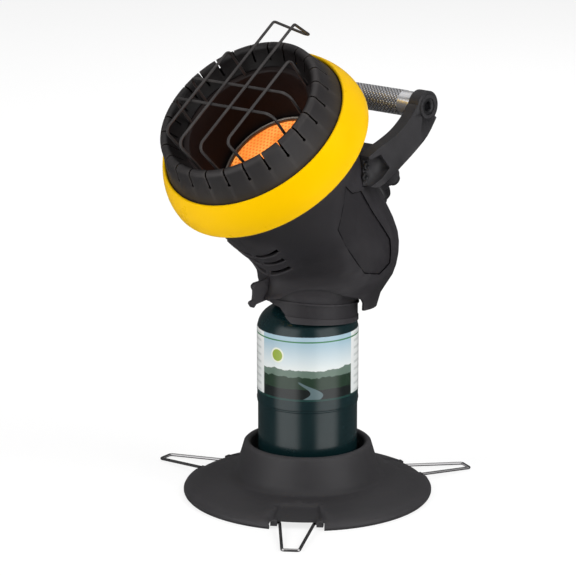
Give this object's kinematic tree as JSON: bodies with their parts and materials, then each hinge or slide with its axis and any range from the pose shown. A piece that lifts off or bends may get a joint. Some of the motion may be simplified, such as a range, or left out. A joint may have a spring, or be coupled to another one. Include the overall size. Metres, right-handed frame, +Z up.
{
  "type": "portable propane heater",
  "caption": "Radiant gas heater: a tilted round burner head with wire guard and carrying handle, screwed onto an upright gas bottle that stands in a round base with folding wire legs.",
  "frame": {"origin": "Middle of the footprint's bounding box, on the floor that the base rim and the leg tips stand on.", "axes": "+Z up along the gas bottle; the burner faces -Y and up; +X is the side with the ignition button."},
  "size_m": [0.2996, 0.3276, 0.4689],
  "materials": {
    "base_plastic": "finely grained",
    "chrome_wire": "polished",
    "bottle_green": "glossy enamel",
    "label_print": "glossy printed film",
    "brass": "machined",
    "housing_plastic": "finely grained",
    "black_steel": "black oxide",
    "yellow_ring": "satin gloss",
    "cone_black": "matte heat-proof paint",
    "bowl_dark": "matte, heat-stained",
    "burner_glow": "glowing perforated tile",
    "burner_steel": "plain",
    "zinc_cast": "as cast",
    "rubber_black": "soft",
    "copper_tube": "drawn copper",
    "stem_steel": "turned",
    "knob_plastic": "moulded",
    "guard_steel": "dull black finish",
    "arm_plastic": "finely grained",
    "chrome_bar": "knurled and polished",
    "igniter_grey": "moulded",
    "lead_red": "soft sleeve",
    "ceramic_white": "fired"
  },
  "bodies": {
    "base": {"base_skirt": "base_plastic"},
    "leg_front": {"wire_leg_1": "chrome_wire"},
    "leg_right": {"wire_leg_2": "chrome_wire"},
    "leg_left": {"wire_leg_3": "chrome_wire"},
    "bottle": {"bottle_lower_shell": "bottle_green", "bottle_upper_shell": "bottle_green", "bottle_foot_ring": "bottle_green", "bottle_label": "label_print", "bottle_boss": "brass", "bottle_valve_core": "brass", "bottle_relief_valve": "brass"},
    "head": {"housing_left": "housing_plastic", "housing_right": "housing_plastic", "housing_screws": "black_steel", "shroud_ring": "yellow_ring", "heat_cone": "cone_black", "reflector_bowl": "bowl_dark", "burner_tile": "burner_glow", "burner_rim": "burner_steel", "burner_cup": "burner_steel", "mixer_tube": "burner_steel", "gas_jet": "brass", "regulator_body": "zinc_cast", "inlet_fitting": "zinc_cast", "inlet_seal": "rubber_black", "supply_tube": "copper_tube", "delivery_tube": "copper_tube", "valve_body": "brass", "valve_nut": "brass", "guard_wire_left": "guard_steel", "guard_wire_right": "guard_steel", "guard_hook_wire": "guard_steel", "guard_cross_upper": "guard_steel", "guard_cross_lower": "guard_steel", "handle_arm_left": "arm_plastic", "handle_arm_right": "arm_plastic", "handle_bar": "chrome_bar", "handle_bolts": "black_steel", "handle_screws": "black_steel", "igniter_bezel": "chrome_bar", "igniter_body": "igniter_grey", "igniter_lead": "lead_red", "spark_electrode": "ceramic_white", "thermocouple": "copper_tube", "tip_switch": "knob_plastic"},
    "knob": {"control_knob": "knob_plastic", "valve_stem": "stem_steel"},
    "button": {"igniter_button": "knob_plastic"}
  },
  "joints": [
    {"name": "leg_front_fold", "type": "hinge", "parent": "base", "child": "leg_front", "pos_m": [0.09589, -0.09262, 0.0054], "axis": [0.7955, 0.606, 0], "range_deg": [0, 176]},
    {"name": "leg_right_fold", "type": "hinge", "parent": "base", "child": "leg_right", "pos_m": [0.07124, 0.0998, 0.0054], "axis": [-0.9225, 0.3859, 0], "range_deg": [0, 176]},
    {"name": "leg_left_fold", "type": "hinge", "parent": "base", "child": "leg_left", "pos_m": [-0.08307, -0.01776, 0.0054], "axis": [0.1271, -0.9919, 0], "range_deg": [0, 176]},
    {"name": "bottle_lift", "type": "slide", "parent": "base", "child": "bottle", "axis": [0, 0, 1], "range_m": [0, 0.08]},
    {"name": "head_screw", "type": "hinge", "parent": "bottle", "child": "head", "pos_m": [0.02802, -0.00352, 0.202], "axis": [0, 0, 1], "range_deg": [0, 360]},
    {"name": "gas_knob_turn", "type": "hinge", "parent": "head", "child": "knob", "pos_m": [0.02802, 0.08448, 0.281], "axis": [0, 0.9063, 0.4226], "range_deg": [0, 180]},
    {"name": "igniter_press", "type": "slide", "parent": "head", "child": "button", "axis": [0, 0.829, -0.5592], "range_m": [-0.004, 0], "stiffness_N_per_m": 600, "springref_m": 0.002}
  ]
}
